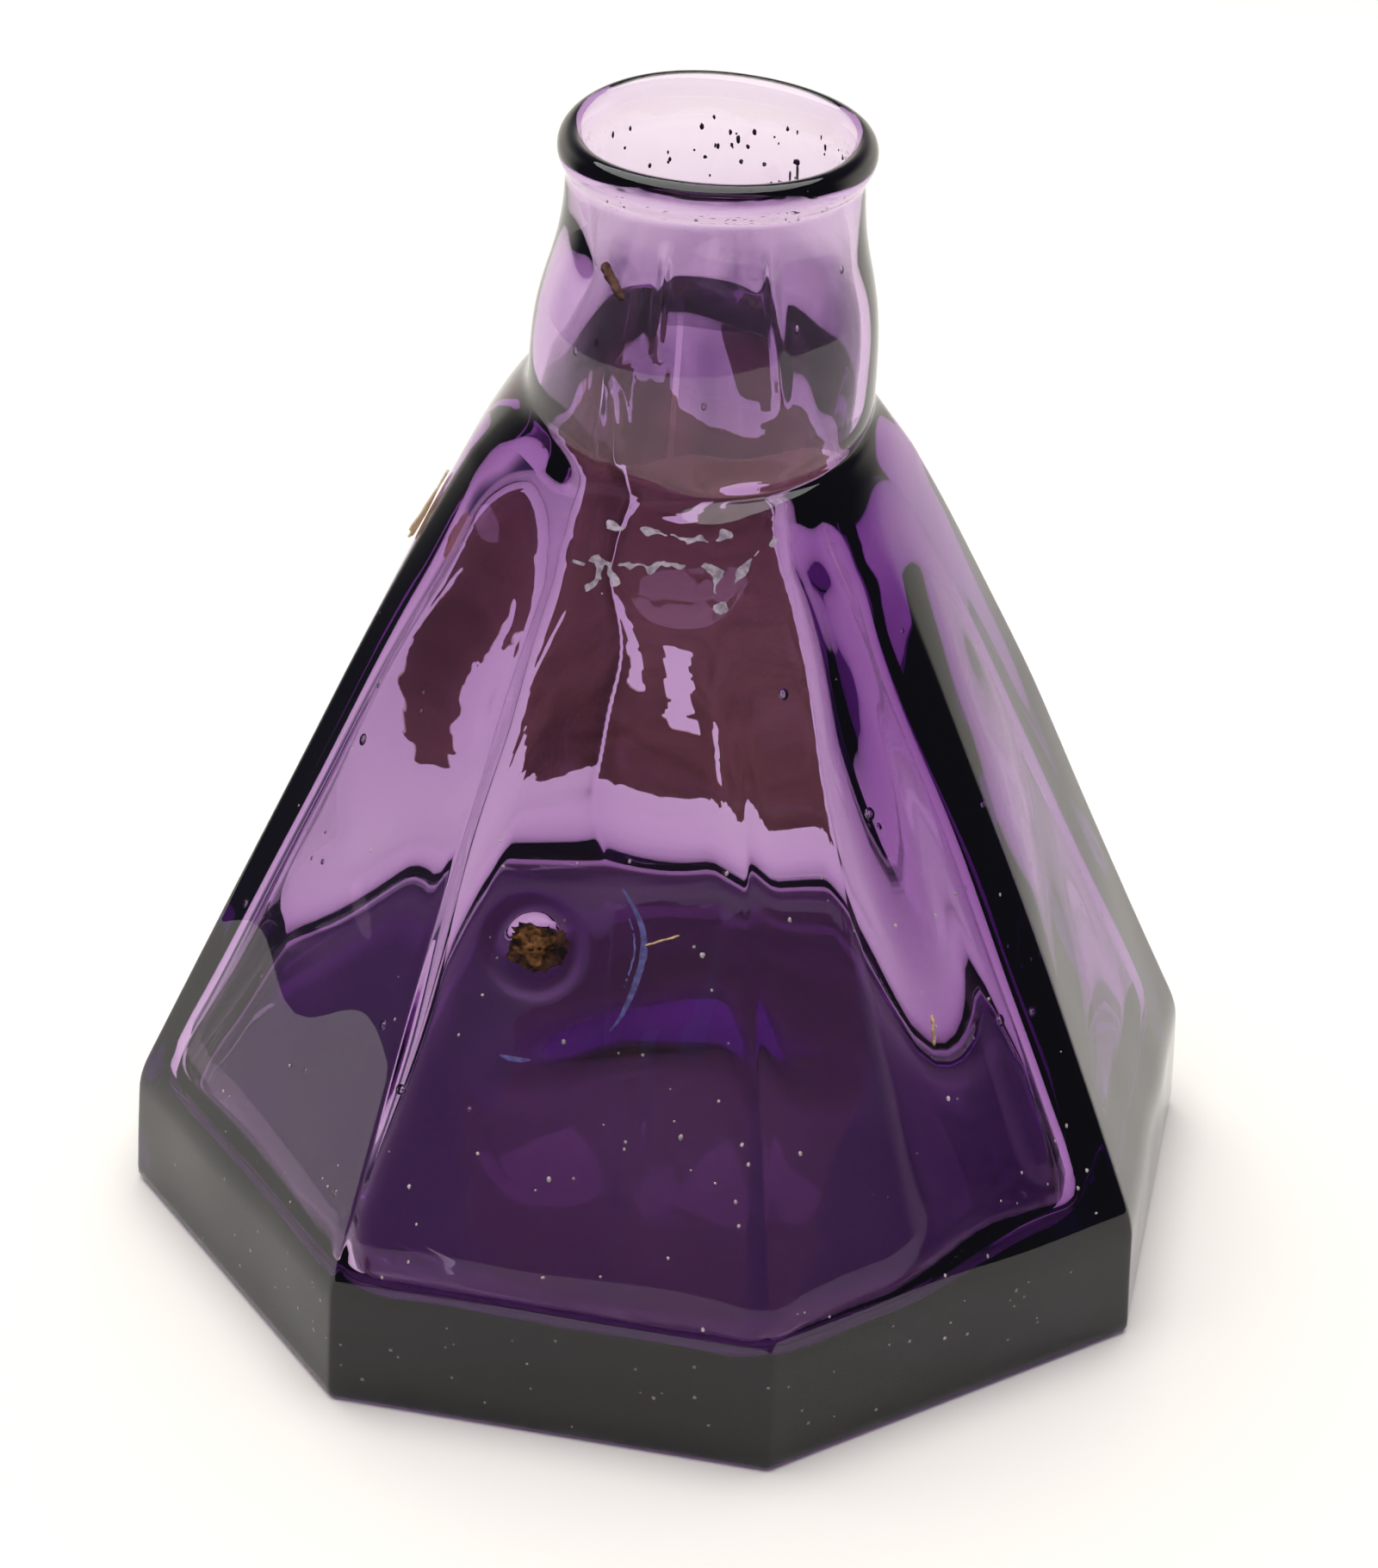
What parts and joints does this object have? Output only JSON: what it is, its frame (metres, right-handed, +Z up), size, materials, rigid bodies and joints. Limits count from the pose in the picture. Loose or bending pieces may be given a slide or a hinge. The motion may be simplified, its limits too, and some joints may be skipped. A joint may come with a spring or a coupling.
{
  "type": "ink bottle",
  "caption": "Antique eight-sided umbrella ink bottle of blown amethyst glass, with an open rolled lip and torn scraps of a paper label.",
  "frame": {"origin": "centre of the eight-sided foot, on the surface the bottle stands on", "axes": "+Z up out of the mouth, -Y towards the front panel, +X to the right of it"},
  "size_m": [0.0584, 0.0584, 0.0644],
  "materials": {
    "amethyst_glass": "clear glossy blown glass, purple through its whole thickness",
    "lip_glass": "clear fire-polished glass",
    "label_paper": "old brown paper, matt and stained",
    "dried_residue": "crumbly dried dirt, matt"
  },
  "bodies": {
    "root": {"glass_body": "amethyst_glass", "lip_ring": "lip_glass", "label_scrap_back": "label_paper", "label_scrap_back_left": "label_paper", "label_scrap_left": "label_paper", "residue_clot": "dried_residue"}
  },
  "joints": []
}
